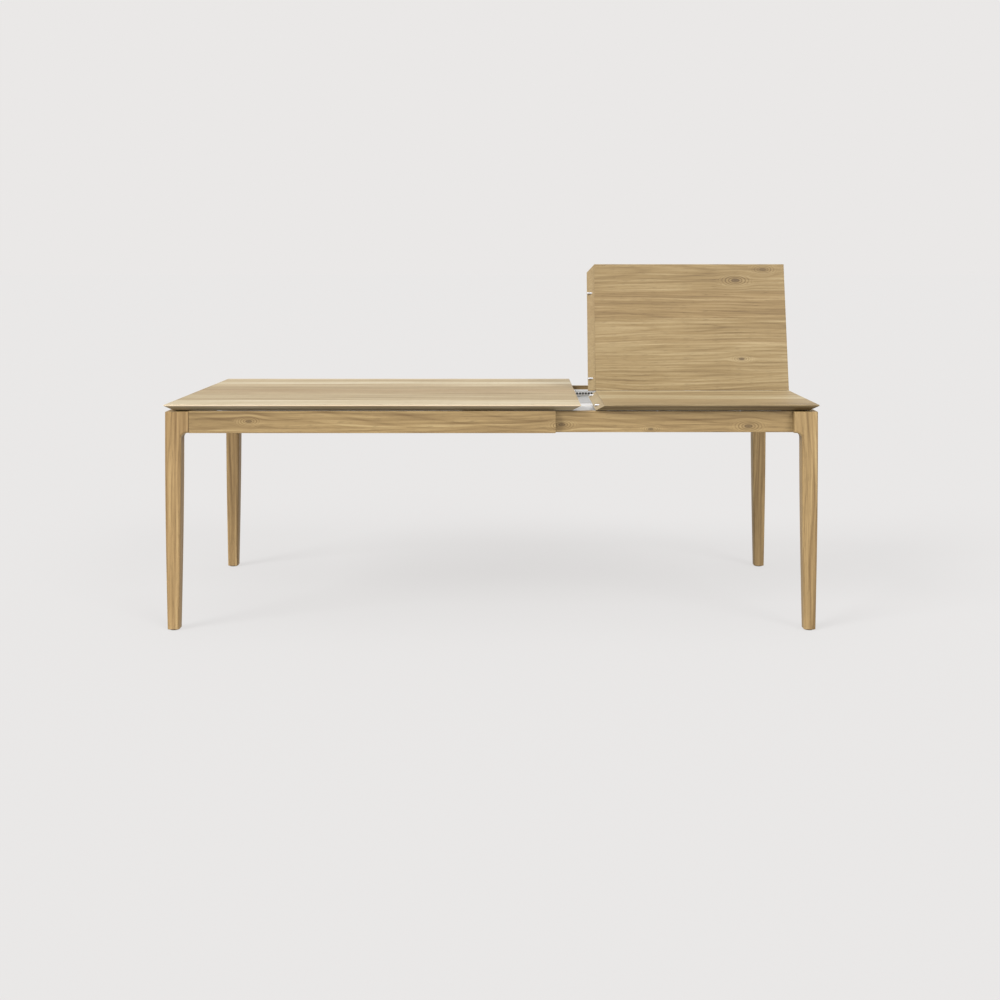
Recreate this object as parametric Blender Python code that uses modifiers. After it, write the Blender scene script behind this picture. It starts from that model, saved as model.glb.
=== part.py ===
"""Extendable dining table in oiled oak, pulled out to its stop, with the rear half of its leaf standing up.

Frame: metres, +Z up, origin on the floor under the middle of the table as it stands. +X runs from the main
top to the leaf and -Y is the front. Everything mirrors in the plane Y = 0, apart from the folded leaf.
"""

from math import cos, pi, radians, sin, sqrt

import bmesh
import bpy
from mathutils import Matrix, Vector

# Driving dimensions of the boards
TABLE_HEIGHT = 0.760
TABLE_WIDTH = 0.960
MAIN_TOP_LENGTH = 1.400
LEAF_LENGTH = 0.721
OPEN_GAP = 0.079
BOARD = 0.022
LIP = 0.004
UNDERCUT = 0.028
LEAN = radians(11.5)

# Driving dimensions of the wooden frames
FRAME_INSET = 0.003
LEG_HEAD = 0.080
LEG = 0.054
FOOT = 0.040
LEG_CORNER = 0.007
LEG_FILLET = 0.020
TAPER_TOP = 0.640
APRON_HEIGHT = 0.071
APRON_THICKNESS = 0.022
APRON_RECESS = 0.001
APRON_GAP = 0.002
OUTER_APRON_END = 0.2155
INNER_APRON_START = -0.100
SHADOW_GAP = 0.0025
RAIL_HEIGHT = 0.022
RAIL_WIDTH = 0.060
RAIL_LIFT = 0.001
RAIL_PLACES = {"tie_rail": INNER_APRON_START, "cross_rail_middle": 0.430, "cross_rail_end": 0.930}
BRACE_OFFSET = 0.190
BRACE_LENGTH = 0.128
BRACE_THICKNESS = 0.003
BRACE_Z = (0.689, 0.723)
BOLT_RADIUS = 0.003
BOLT_HEAD_RADIUS = 0.0065
BOLT_HEAD_HEIGHT = 0.005
BOLT_REACH = 0.078

# Driving dimensions of the slides, the hinges and the small parts
SLIDE_Y = 0.275
SLIDE_HEIGHT = 0.036
SLIDE_DEPTH = 0.030
SLIDE_WALL = 0.0025
SLIDE_PLAY = 0.0006
OUTER_SLIDE = (-0.950, 0.262)
MIDDLE_SLIDE = (-0.150, 0.650)
INNER_SLIDE = (0.335, 1.045)
SLOT_PITCH = 0.020
SLOT_RADIUS = 0.004
SLOT_REACH = (0.230, 0.470)
BLOCK_PLATE = 0.010
BLOCK_MARGIN = 0.010
HINGE_COUNT = 3
HINGE_END = 0.090
LINK_INNER = 0.0070
LINK_OUTER = 0.0105
LINK_WIDTH = 0.008
LINK_TUCK = radians(17)
LINK_PLAY = 0.0005
PLATE_LENGTH = 0.060
PLATE_THICKNESS = 0.002
PLATE_DEPTHS = (0.0175, 0.0035)
PIN_RADIUS = 0.004
PIN_REACH = 0.012
PIN_CHAMFER = 0.0015
PIN_Z = 0.7465
PIN_OFFSETS = (0.046, 0.370)
BUSH_RADIUS = 0.0075
BUSH_LENGTH = 0.016
BUSH_PLAY = 0.0008
PIN_ROOT = 0.020
PAD_WIDTH = 0.010
PAD_X = (0.390, 0.980)
END_PAD_Y = (-0.360, -0.030)
DOWEL_RADIUS = 0.004
DOWEL_REACH = 0.009
DOWEL_IN = 0.0062
DOWEL_X = {"left": 0.560, "right": 0.840}
GLIDE_RADIUS = 0.016
GLIDE_HEIGHT = 0.003
FIT = 0.0003
PAST_FACE = 0.010

# Places worked out from them
LENGTH = MAIN_TOP_LENGTH + OPEN_GAP + LEAF_LENGTH
LEFT = -LENGTH / 2
RIGHT = LENGTH / 2
MAIN_END = LEFT + MAIN_TOP_LENGTH
LEAF_START = MAIN_END + OPEN_GAP
HALF_WIDTH = TABLE_WIDTH / 2
UNDERSIDE = TABLE_HEIGHT - BOARD
FRAME_TOP = UNDERSIDE - SHADOW_GAP
FRAME_Y = HALF_WIDTH - FRAME_INSET
FRAME_LEFT = LEFT + FRAME_INSET
FRAME_RIGHT = RIGHT - FRAME_INSET
APRON_BOTTOM = FRAME_TOP - APRON_HEIGHT
OUTER_APRON_Y = FRAME_Y - APRON_RECESS
INNER_APRON_Y = OUTER_APRON_Y - APRON_THICKNESS - APRON_GAP
RAIL_TOP = APRON_BOTTOM + RAIL_LIFT + RAIL_HEIGHT
SLIDE_TOP = UNDERSIDE - FIT
SLIDE_BOTTOM = SLIDE_TOP - SLIDE_HEIGHT
AXIS_Z = TABLE_HEIGHT + FIT
FLAT_TURN = pi / 2 - LEAN
ENDS = {-1: "left", 1: "right"}
SIDES = {-1: "front", 1: "rear"}
UP = Vector((0, 0, 1))
PLUS_X = Vector((1, 0, 0))

for leftover in list(bpy.data.objects):
    bpy.data.objects.remove(leftover, do_unlink=True)

PARTS = bpy.data.collections.new("extendable_dining_table")
CUTTERS = bpy.data.collections.new("cutters")
bpy.context.scene.collection.children.link(PARTS)
bpy.context.scene.collection.children.link(CUTTERS)


def material(name, colour, roughness, metallic=0.0):
    """A Principled material of one colour (linear red, green and blue)."""
    made = bpy.data.materials.new(name)
    made.use_nodes = True
    shader = made.node_tree.nodes["Principled BSDF"]
    shader.inputs["Base Color"].default_value = (*colour, 1)
    shader.inputs["Roughness"].default_value = roughness
    shader.inputs["Metallic"].default_value = metallic
    return made


OAK_TOP = material("oak_top", (0.58, 0.45, 0.29), 0.55)
OAK_LEAF = material("oak_leaf", (0.45, 0.33, 0.19), 0.55)
OAK_FRAME = material("oak_frame", (0.44, 0.32, 0.18), 0.6)
ALUMINIUM = material("aluminium", (0.75, 0.76, 0.77), 0.35, 1.0)
STEEL = material("steel", (0.55, 0.55, 0.56), 0.35, 1.0)
NYLON = material("nylon", (0.80, 0.80, 0.78), 0.45)
BLACK_PLASTIC = material("black_plastic", (0.03, 0.03, 0.03), 0.5)


def add(name, mesh, finish=None):
    """Puts a mesh in the scene as a part, or as a hidden cutter when it has no finish."""
    item = bpy.data.objects.new(name, mesh)
    if finish is None:
        item.hide_render = True
        item.display_type = "WIRE"
        CUTTERS.objects.link(item)
    else:
        mesh.materials.append(finish)
        PARTS.objects.link(item)
    return item


def joined(name, meshes, finish=None):
    """One object that holds the meshes side by side, for like fasteners or like cuts."""
    shape = bmesh.new()
    for mesh in meshes:
        shape.from_mesh(mesh)
        bpy.data.meshes.remove(mesh)
    whole = bpy.data.meshes.new(name)
    shape.to_mesh(whole)
    shape.free()
    return add(name, whole, finish)


def box_mesh(low, high):
    """A box between two corners."""
    shape = bmesh.new()
    bmesh.ops.create_cube(shape, size=1)
    for vert in shape.verts:
        for k in range(3):
            vert.co[k] = low[k] if vert.co[k] < 0 else high[k]
    mesh = bpy.data.meshes.new("box")
    shape.to_mesh(mesh)
    shape.free()
    return mesh


def side_box_mesh(side, x, y, z):
    """A box at the front (side -1) or the rear (side 1), with y as distances from the middle plane."""
    across = sorted(side * value for value in y)
    return box_mesh((x[0], across[0], z[0]), (x[1], across[1], z[1]))


def rod_mesh(start, direction, length, radius, segments=20):
    """A cylinder from a point along a direction."""
    shape = bmesh.new()
    bmesh.ops.create_cone(
        shape, cap_ends=True, segments=segments, radius1=radius, radius2=radius, depth=length
    )
    turn = direction.to_track_quat("Z", "Y").to_matrix().to_4x4()
    centre = Matrix.Translation(start + direction.normalized() * length / 2)
    bmesh.ops.transform(shape, matrix=centre @ turn, verts=shape.verts)
    mesh = bpy.data.meshes.new("rod")
    shape.to_mesh(mesh)
    shape.free()
    return mesh


def board_mesh(x, y, lean):
    """A table board: a plain lip below the top face, then edges that run in or out to the underside.

    lean holds how far the underside stands in from the top face at the left, right, front and rear.
    """
    left, right, front, rear = lean
    shape = bmesh.new()
    bmesh.ops.create_cube(shape, size=1)
    for vert in shape.verts:
        at_left = vert.co.x < 0
        at_front = vert.co.y < 0
        at_bottom = vert.co.z < 0
        vert.co.x = x[0] if at_left else x[1]
        vert.co.y = y[0] if at_front else y[1]
        vert.co.z = TABLE_HEIGHT - LIP if at_bottom else TABLE_HEIGHT
    under = [face for face in shape.faces if face.normal.z < -0.5]
    made = bmesh.ops.extrude_face_region(shape, geom=under)
    bmesh.ops.delete(shape, geom=under, context="FACES_ONLY")
    middle_x = (x[0] + x[1]) / 2
    middle_y = (y[0] + y[1]) / 2
    for vert in (item for item in made["geom"] if isinstance(item, bmesh.types.BMVert)):
        vert.co.x += left if vert.co.x < middle_x else -right
        vert.co.y += front if vert.co.y < middle_y else -rear
        vert.co.z = UNDERSIDE
    bmesh.ops.recalc_face_normals(shape, faces=shape.faces)
    mesh = bpy.data.meshes.new("board")
    shape.to_mesh(mesh)
    shape.free()
    return mesh


def outline_mesh(points, thickness, placing):
    """A flat outline given a thickness either side of its plane, then placed by a matrix."""
    curve = bpy.data.curves.new("outline", "CURVE")
    curve.dimensions = "2D"
    curve.fill_mode = "BOTH"
    curve.extrude = thickness / 2
    line = curve.splines.new("POLY")
    line.points.add(len(points) - 1)
    for point, (across, up) in zip(line.points, points):
        point.co = (across, up, 0, 1)
    line.use_cyclic_u = True
    drawn = bpy.data.objects.new("outline", curve)
    bpy.context.scene.collection.objects.link(drawn)
    bpy.context.view_layer.update()
    evaluated = drawn.evaluated_get(bpy.context.evaluated_depsgraph_get())
    mesh = bpy.data.meshes.new_from_object(evaluated)
    bpy.data.objects.remove(drawn)
    shape = bmesh.new()
    shape.from_mesh(mesh)
    bmesh.ops.remove_doubles(shape, verts=shape.verts, dist=1e-6)
    bmesh.ops.transform(shape, matrix=placing, verts=shape.verts)
    bmesh.ops.recalc_face_normals(shape, faces=shape.faces)
    shape.to_mesh(mesh)
    shape.free()
    return mesh


def along_x(x, side=1):
    """Places an outline drawn as (distance from the middle plane, height) across the X axis."""
    return Matrix(((0, 0, 1, (x[0] + x[1]) / 2), (side, 0, 0, 0), (0, 1, 0, 0), (0, 0, 0, 1)))


def arc(centre, radius, start, end, steps):
    """Points along an arc, from a start angle to an end angle."""
    turns = [start + (end - start) * k / steps for k in range(steps + 1)]
    return [(centre[0] + radius * cos(turn), centre[1] + radius * sin(turn)) for turn in turns]


def cut(item, name, meshes, operation="DIFFERENCE"):
    """Cuts the meshes out of an object, or joins them to it, with a live Boolean."""
    cutter = joined(name, meshes)
    boolean = item.modifiers.new(name, "BOOLEAN")
    boolean.object = cutter
    boolean.operation = operation
    boolean.solver = "EXACT"
    return cutter


def on_both_sides(name, mesh_of_side, finish):
    """A front part and its mirror at the rear, each an object of its own."""
    for side, word in SIDES.items():
        joined(name.format(word), [mesh_of_side(side)], finish)


# Legs: a tapered square post with rounded corners, and a head that widens towards both aprons
def post_mesh(centre_x, centre_y):
    """Rounded square rings from the foot up, joined one to the next and closed at both ends."""
    foot_z = GLIDE_HEIGHT + FIT
    heights = [foot_z + (TAPER_TOP - foot_z) * k / 6 for k in range(7)] + [FRAME_TOP]
    shape = bmesh.new()
    rings = []
    for height in heights:
        share = min((height - foot_z) / (TAPER_TOP - foot_z), 1)
        half = (FOOT + (LEG - FOOT) * sin(share * pi / 2)) / 2
        inner = half - LEG_CORNER
        ring = []
        for quarter in range(4):
            turn = quarter * pi / 2
            corner = (inner * sqrt(2) * cos(turn + pi / 4), inner * sqrt(2) * sin(turn + pi / 4))
            for across, along in arc(corner, LEG_CORNER, turn, turn + pi / 2, 4):
                ring.append(shape.verts.new((centre_x + across, centre_y + along, height)))
        rings.append(ring)
    for low, high in zip(rings, rings[1:]):
        for k in range(len(low)):
            after = (k + 1) % len(low)
            shape.faces.new((low[k], low[after], high[after], high[k]))
    shape.faces.new(rings[0])
    shape.faces.new(rings[-1])
    bmesh.ops.recalc_face_normals(shape, faces=shape.faces)
    mesh = bpy.data.meshes.new("post")
    shape.to_mesh(mesh)
    shape.free()
    return mesh


def wing_outline():
    """The head's widening, seen from the side: distance from the leg's outer face, and height."""
    fillet = arc((LEG + LEG_FILLET, APRON_BOTTOM - LEG_FILLET), LEG_FILLET, pi, pi / 2, 8)
    return [(LEG / 2, APRON_BOTTOM - LEG_FILLET)] + fillet + [
        (LEG_HEAD, APRON_BOTTOM), (LEG_HEAD, FRAME_TOP - FIT), (LEG / 2, FRAME_TOP - FIT)
    ]


def leg(name, end, side):
    """One leg. end is -1 at the left and 1 at the right, side is -1 at the front and 1 at the rear."""
    outer_x = FRAME_LEFT if end < 0 else FRAME_RIGHT
    outer_y = side * FRAME_Y
    middle_x = outer_x - end * LEG / 2
    middle_y = outer_y - side * LEG / 2
    item = joined(name, [post_mesh(middle_x, middle_y)], OAK_FRAME)
    depth = LEG - 2 * FIT
    to_x = Matrix(((-end, 0, 0, outer_x), (0, 0, 1, middle_y), (0, 1, 0, 0), (0, 0, 0, 1)))
    to_y = Matrix(((0, 0, 1, middle_x), (-side, 0, 0, outer_y), (0, 1, 0, 0), (0, 0, 0, 1)))
    cut(item, name + "_wing_x", [outline_mesh(wing_outline(), depth, to_x)], "UNION")
    cut(item, name + "_wing_y", [outline_mesh(wing_outline(), depth - FIT, to_y)], "UNION")
    return item


def corner_mesh(end, side, low, high):
    """A box at a frame corner, turned 45 degrees: its x runs from the corner towards the middle."""
    mesh = box_mesh(low, high)
    outer_x = FRAME_LEFT if end < 0 else FRAME_RIGHT
    inward = Vector((-end, -side, 0)).normalized()
    across = Vector((side, -end, 0)).normalized()
    mesh.transform(Matrix((
        (inward.x, across.x, 0, outer_x),
        (inward.y, across.y, 0, side * FRAME_Y),
        (0, 0, 1, 0),
        (0, 0, 0, 1),
    )))
    if end * side > 0:
        mesh.flip_normals()
    return mesh


def bolt_mesh(end, side, height):
    """A bolt from the brace into the leg's inner corner: a turned head and shank in one profile."""
    outer_x = FRAME_LEFT if end < 0 else FRAME_RIGHT
    outward = Vector((end, side, 0)).normalized()
    corner = Vector((outer_x, side * FRAME_Y, height))
    start = corner - outward * (BRACE_OFFSET / sqrt(2) + BRACE_THICKNESS)
    profile = [
        (0, -BOLT_HEAD_HEIGHT), (BOLT_HEAD_RADIUS, -BOLT_HEAD_HEIGHT), (BOLT_HEAD_RADIUS, -FIT),
        (BOLT_RADIUS, -FIT), (BOLT_RADIUS, BOLT_REACH), (0, BOLT_REACH),
    ]
    return turned_mesh(profile, start, outward)


def turned_mesh(profile, start, direction, segments=16):
    """A profile of (radius, distance along) turned about a line with a Screw modifier, then placed."""
    line = bpy.data.meshes.new("profile")
    points = [(radius, 0, -along) for radius, along in profile]
    line.from_pydata(points, [(k, k + 1) for k in range(len(points) - 1)], [])
    turned = bpy.data.objects.new("turned", line)
    bpy.context.scene.collection.objects.link(turned)
    screw = turned.modifiers.new("turn", "SCREW")
    screw.steps = segments
    screw.render_steps = segments
    screw.use_merge_vertices = True
    screw.merge_threshold = 0.00005
    bpy.context.view_layer.update()
    evaluated = turned.evaluated_get(bpy.context.evaluated_depsgraph_get())
    mesh = bpy.data.meshes.new_from_object(evaluated)
    bpy.data.objects.remove(turned)
    turn = (-direction).to_track_quat("Z", "Y").to_matrix().to_4x4()
    shape = bmesh.new()
    shape.from_mesh(mesh)
    bmesh.ops.remove_doubles(shape, verts=shape.verts, dist=1e-6)
    bmesh.ops.recalc_face_normals(shape, faces=shape.faces)
    bmesh.ops.transform(shape, matrix=Matrix.Translation(start) @ turn, verts=shape.verts)
    shape.to_mesh(mesh)
    shape.free()
    return mesh


# Corner braces, their bolts and the glides under the feet
BRACE_START = BRACE_OFFSET / sqrt(2)
BOLT_Z = sum(BRACE_Z) / 2
for end, end_word in ENDS.items():
    for side, side_word in SIDES.items():
        post = leg(f"leg_{side_word}_{end_word}", end, side)
        corner = Vector((FRAME_LEFT if end < 0 else FRAME_RIGHT, side * FRAME_Y, BOLT_Z))
        inward = Vector((-end, -side, 0)).normalized()
        hole_start = corner + inward * (BRACE_START - BOLT_REACH)
        hole = rod_mesh(hole_start, inward, BOLT_REACH, BOLT_RADIUS + FIT)
        cut(post, f"bolt_hole_{side_word}_{end_word}", [hole])
        plate = corner_mesh(
            end, side,
            (BRACE_START, -BRACE_LENGTH / 2, BRACE_Z[0]),
            (BRACE_START + BRACE_THICKNESS, BRACE_LENGTH / 2, BRACE_Z[1]),
        )
        brace = joined(f"corner_brace_{side_word}_{end_word}", [plate], STEEL)
        clearance_start = corner + inward * (BRACE_START - PAST_FACE)
        clearance = rod_mesh(clearance_start, inward, BRACE_THICKNESS + 2 * PAST_FACE, BOLT_RADIUS + FIT)
        cut(brace, f"brace_hole_{side_word}_{end_word}", [clearance])
        joined(f"brace_bolt_{side_word}_{end_word}", [bolt_mesh(end, side, BOLT_Z)], STEEL)
        foot = Vector((corner.x - end * LEG / 2, side * (FRAME_Y - LEG / 2), 0))
        glide = rod_mesh(foot, UP, GLIDE_HEIGHT, GLIDE_RADIUS)
        joined(f"foot_glide_{side_word}_{end_word}", [glide], BLACK_PLASTIC)

# Aprons: outer ones on the main frame, inner ones on the frame that slides between them
OUTER_APRON_X = (FRAME_LEFT + LEG_HEAD + FIT, OUTER_APRON_END)
INNER_APRON_X = (INNER_APRON_START, FRAME_RIGHT - LEG_HEAD - FIT)
on_both_sides(
    "apron_{}_outer",
    lambda side: side_box_mesh(
        side, OUTER_APRON_X, (OUTER_APRON_Y - APRON_THICKNESS, OUTER_APRON_Y),
        (APRON_BOTTOM, UNDERSIDE - FIT),
    ),
    OAK_FRAME,
)
on_both_sides(
    "apron_{}_inner",
    lambda side: side_box_mesh(
        side, INNER_APRON_X, (INNER_APRON_Y - APRON_THICKNESS, INNER_APRON_Y), (APRON_BOTTOM, FRAME_TOP)
    ),
    OAK_FRAME,
)
END_APRON_Y = FRAME_Y - LEG_HEAD - FIT
for end, end_word in ENDS.items():
    outer_x = abs(FRAME_LEFT) - APRON_RECESS
    across = sorted((end * outer_x, end * (outer_x - APRON_THICKNESS)))
    top = UNDERSIDE - FIT if end < 0 else FRAME_TOP
    rail = box_mesh((across[0], -END_APRON_Y, APRON_BOTTOM), (across[1], END_APRON_Y, top))
    joined(f"apron_{end_word}_end", [rail], OAK_FRAME)

# Cross rails of the sliding frame, low enough to leave the leaf's bay free above them
RAIL_REACH = INNER_APRON_Y - APRON_THICKNESS - FIT
for name, start in RAIL_PLACES.items():
    low = (start, -RAIL_REACH, RAIL_TOP - RAIL_HEIGHT)
    rail = box_mesh(low, (start + RAIL_WIDTH, RAIL_REACH, RAIL_TOP))
    joined(name, [rail], OAK_FRAME)


# Telescopic slides: three aluminium members a side, one running inside the next
def channel_outline(step):
    """A C section open towards the middle plane. step 0 is the outer member, 1 runs in it, 2 in that."""
    shrink = step * (SLIDE_WALL + SLIDE_PLAY)
    out = SLIDE_Y + SLIDE_DEPTH / 2 - shrink
    inside = SLIDE_Y - SLIDE_DEPTH / 2
    low = SLIDE_BOTTOM + shrink
    high = SLIDE_TOP - shrink
    wall = SLIDE_WALL
    return [
        (inside, low), (out, low), (out, high), (inside, high),
        (inside, high - wall), (out - wall, high - wall), (out - wall, low + wall), (inside, low + wall),
    ]


def slots(side, x, step):
    """A row of round holes through a member's top wall."""
    count = round((x[1] - x[0]) / SLOT_PITCH) - 1
    top = SLIDE_TOP - step * (SLIDE_WALL + SLIDE_PLAY)
    return [
        rod_mesh(
            Vector((x[0] + SLOT_PITCH * (k + 1), side * SLIDE_Y, top - 2 * SLIDE_WALL)),
            UP, 3 * SLIDE_WALL, SLOT_RADIUS, 10,
        )
        for k in range(count)
    ]


MEMBERS = (("outer", OUTER_SLIDE, 0), ("middle", MIDDLE_SLIDE, 1), ("inner", INNER_SLIDE, 2))
for word, reach, step in MEMBERS:
    for side, side_word in SIDES.items():
        section = outline_mesh(channel_outline(step), reach[1] - reach[0], along_x(reach, side))
        member = joined(f"slide_{word}_{side_word}", [section], ALUMINIUM)
        if word == "middle":
            cut(member, f"slots_{side_word}", slots(side, SLOT_REACH, step))

# Aluminium blocks: each stands on a cross rail beside the slide and reaches into the inner member
inner_step = 2 * (SLIDE_WALL + SLIDE_PLAY) + SLIDE_WALL + FIT
plate_out = SLIDE_Y - SLIDE_DEPTH / 2 - FIT
tongue_out = SLIDE_Y + SLIDE_DEPTH / 2 - inner_step
tongue_low = SLIDE_BOTTOM + inner_step
tongue_high = SLIDE_TOP - inner_step
BLOCK_OUTLINE = [
    (plate_out - BLOCK_PLATE, RAIL_TOP + FIT), (plate_out, RAIL_TOP + FIT), (plate_out, tongue_low),
    (tongue_out, tongue_low), (tongue_out, tongue_high), (plate_out - BLOCK_PLATE, tongue_high),
]
for side, side_word in SIDES.items():
    for place in ("middle", "end"):
        start = RAIL_PLACES[f"cross_rail_{place}"]
        reach = (start + BLOCK_MARGIN, start + RAIL_WIDTH - BLOCK_MARGIN)
        block = outline_mesh(BLOCK_OUTLINE, reach[1] - reach[0], along_x(reach, side))
        joined(f"slide_block_{side_word}_{place}", [block], ALUMINIUM)

# Main top: undercut along all four edges, with a blind socket and bush for each pin of the leaf
PIN_YS = [side * offset for side in SIDES for offset in PIN_OFFSETS]
slope = UNDERCUT / (BOARD - LIP)
edge_at_pin = (TABLE_HEIGHT - LIP - PIN_Z) * slope
socket_mouth = MAIN_END - edge_at_pin - BUSH_RADIUS * slope - FIT
main_top = joined(
    "main_top",
    [board_mesh((LEFT, MAIN_END), (-HALF_WIDTH, HALF_WIDTH), (UNDERCUT,) * 4)],
    OAK_TOP,
)
SOCKET_DEPTH = BUSH_LENGTH + FIT
socket_start = socket_mouth - SOCKET_DEPTH
cut(main_top, "sockets", [
    rod_mesh(Vector((socket_start, y, PIN_Z)), PLUS_X, SOCKET_DEPTH + UNDERCUT, BUSH_RADIUS + FIT)
    for y in PIN_YS
])


def bush_mesh(start, y):
    """A plastic sleeve, turned from its wall's section."""
    bore = PIN_RADIUS + BUSH_PLAY
    wall = [(bore, 0), (bore, BUSH_LENGTH), (BUSH_RADIUS, BUSH_LENGTH), (BUSH_RADIUS, 0), (bore, 0)]
    return turned_mesh(wall, Vector((start, y, PIN_Z)), PLUS_X, 20)


for side, side_word in SIDES.items():
    for place, offset in zip(("inner", "outer"), PIN_OFFSETS):
        bush = bush_mesh(socket_start + FIT, side * offset)
        joined(f"socket_bush_{side_word}_{place}", [bush], NYLON)

# Leaf: two halves drawn flat, hinged to each other along the middle of the table
SPINE = FIT
leaf_x = (LEAF_START, RIGHT)
lean_front = (-UNDERCUT, UNDERCUT, UNDERCUT, 0)
lean_rear = (-UNDERCUT, UNDERCUT, 0, UNDERCUT)
HALVES = {
    "front": joined("leaf_front", [board_mesh(leaf_x, (-HALF_WIDTH, -SPINE), lean_front)], OAK_LEAF),
    "rear": joined("leaf_rear", [board_mesh(leaf_x, (SPINE, HALF_WIDTH), lean_rear)], OAK_LEAF),
}
TURNING = [HALVES["rear"]]

hinge_span = LEAF_LENGTH - 2 * HINGE_END
hinge_xs = [LEAF_START + HINGE_END + hinge_span * k / (HINGE_COUNT - 1) for k in range(HINGE_COUNT)]
pocket_depth = LINK_OUTER + 2 * LINK_PLAY
pocket_top = AXIS_Z - LINK_INNER * sin(LINK_TUCK) + LINK_PLAY
plate_z = (AXIS_Z - PLATE_DEPTHS[0], AXIS_Z - PLATE_DEPTHS[1])
for side, side_word in SIDES.items():
    half = HALVES[side_word]
    pockets = [
        side_box_mesh(
            side, (x - LINK_WIDTH / 2 - LINK_PLAY, x + LINK_WIDTH / 2 + LINK_PLAY),
            (-PAST_FACE, pocket_depth), (AXIS_Z - pocket_depth, pocket_top),
        )
        for x in hinge_xs
    ]
    rebates = [
        side_box_mesh(
            side, (x - PLATE_LENGTH / 2 - FIT, x + PLATE_LENGTH / 2 + FIT),
            (-PAST_FACE, SPINE + PLATE_THICKNESS + FIT), (plate_z[0] - FIT, plate_z[1] + FIT),
        )
        for x in hinge_xs
    ]
    plates = [
        side_box_mesh(
            side, (x - PLATE_LENGTH / 2, x + PLATE_LENGTH / 2), (SPINE, SPINE + PLATE_THICKNESS), plate_z
        )
        for x in hinge_xs
    ]
    plate_slots = [
        side_box_mesh(
            side, (x - LINK_WIDTH / 2 - LINK_PLAY, x + LINK_WIDTH / 2 + LINK_PLAY),
            (-PAST_FACE, PAST_FACE), (AXIS_Z - pocket_depth - FIT, AXIS_Z - LINK_INNER + LINK_PLAY * 2),
        )
        for x in hinge_xs
    ]
    pin_root = LEAF_START + PIN_ROOT
    pin_holes = [
        rod_mesh(Vector((pin_root + FIT, side * offset, PIN_Z)), -PLUS_X, 2 * UNDERCUT, PIN_RADIUS + FIT)
        for offset in PIN_OFFSETS
    ]
    carried = [
        cut(half, f"hinge_pockets_{side_word}", pockets),
        cut(half, f"plate_rebates_{side_word}", rebates),
        cut(half, f"pin_holes_{side_word}", pin_holes),
    ]
    for number, (plate, slot) in enumerate(zip(plates, plate_slots), 1):
        item = joined(f"hinge_plate_{side_word}_{number}", [plate], STEEL)
        carried += [item, cut(item, f"plate_slot_{side_word}_{number}", [slot])]
    pin_length = PIN_ROOT + edge_at_pin + PIN_REACH
    profile = [
        (0, 0), (PIN_RADIUS, 0), (PIN_RADIUS, pin_length - PIN_CHAMFER),
        (PIN_RADIUS - PIN_CHAMFER, pin_length), (0, pin_length),
    ]
    for place, offset in zip(("inner", "outer"), PIN_OFFSETS):
        pin = turned_mesh(profile, Vector((pin_root, side * offset, PIN_Z)), -PLUS_X, 20)
        carried.append(joined(f"alignment_pin_{side_word}_{place}", [pin], STEEL))
    if side > 0:
        TURNING += carried


def link_mesh(x):
    """A hinge link: a half ring about the hinge line, cut short at both tips."""
    tips = (pi + LINK_TUCK, 2 * pi - LINK_TUCK)
    ring = arc((0, AXIS_Z), LINK_OUTER, *tips, 20) + arc((0, AXIS_Z), LINK_INNER, *reversed(tips), 20)
    return outline_mesh(ring, LINK_WIDTH, along_x((x - LINK_WIDTH / 2, x + LINK_WIDTH / 2)))


links = []
for number, x in enumerate(hinge_xs, 1):
    links.append(joined(f"hinge_link_{number}", [link_mesh(x)], STEEL))

# Pads and dowels that hold the leaf level on the sliding frame
PAD_Z = (FRAME_TOP + FIT, UNDERSIDE - FIT)
pad_inside = INNER_APRON_Y - APRON_THICKNESS + FIT
for side, side_word in SIDES.items():
    reach = (pad_inside, pad_inside + PAD_WIDTH)
    joined(f"leaf_pad_{side_word}", [side_box_mesh(side, PAD_X, reach, PAD_Z)], NYLON)
inner_end = RIGHT - UNDERCUT - FIT
end_pad = box_mesh((inner_end - PAD_WIDTH, END_PAD_Y[0], PAD_Z[0]), (inner_end, END_PAD_Y[1], PAD_Z[1]))
joined("leaf_pad_end", [end_pad], NYLON)
dowel_y = DOWEL_IN - INNER_APRON_Y
dowel_length = 2 * DOWEL_REACH + SHADOW_GAP - FIT
for word, x in DOWEL_X.items():
    dowel = rod_mesh(Vector((x, dowel_y, FRAME_TOP - DOWEL_REACH)), UP, dowel_length, DOWEL_RADIUS, 16)
    joined(f"leaf_dowel_{word}", [dowel], STEEL)
for item, word, low in (
    (bpy.data.objects["apron_front_inner"], "apron", FRAME_TOP - DOWEL_REACH - FIT),
    (HALVES["front"], "leaf", UNDERSIDE - DOWEL_REACH),
):
    cut(item, f"dowel_holes_{word}", [
        rod_mesh(Vector((x, dowel_y, low)), UP, 2 * DOWEL_REACH + FIT, DOWEL_RADIUS + FIT, 16)
        for x in DOWEL_X.values()
    ])


def turn_about_hinge_line(name, items, angle):
    """Parents the items to an empty on the hinge line, then turns the empty from flat by an angle."""
    axis = bpy.data.objects.new(name, None)
    PARTS.objects.link(axis)
    axis.location = ((LEAF_START + RIGHT) / 2, 0, AXIS_Z)
    bpy.context.view_layer.update()
    for item in items:
        item.parent = axis
        item.matrix_parent_inverse = axis.matrix_world.inverted()
    axis.rotation_euler.x = angle


turn_about_hinge_line("leaf_hinge_line", TURNING, FLAT_TURN)
turn_about_hinge_line("link_hinge_line", links, FLAT_TURN / 2)

for item in PARTS.objects:
    if item.type == "MESH" and not item.name.startswith(("leaf_rear", "leaf_front", "main_top")):
        item.data.shade_smooth()
        item.data.set_sharp_from_angle(angle=radians(30))
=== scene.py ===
"""Extendable dining table in oiled oak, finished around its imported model, on a pale studio floor."""

from functools import partial
from math import cos, pi, radians

import bmesh
import bpy
import numpy as np
from mathutils import Matrix, Vector


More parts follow.
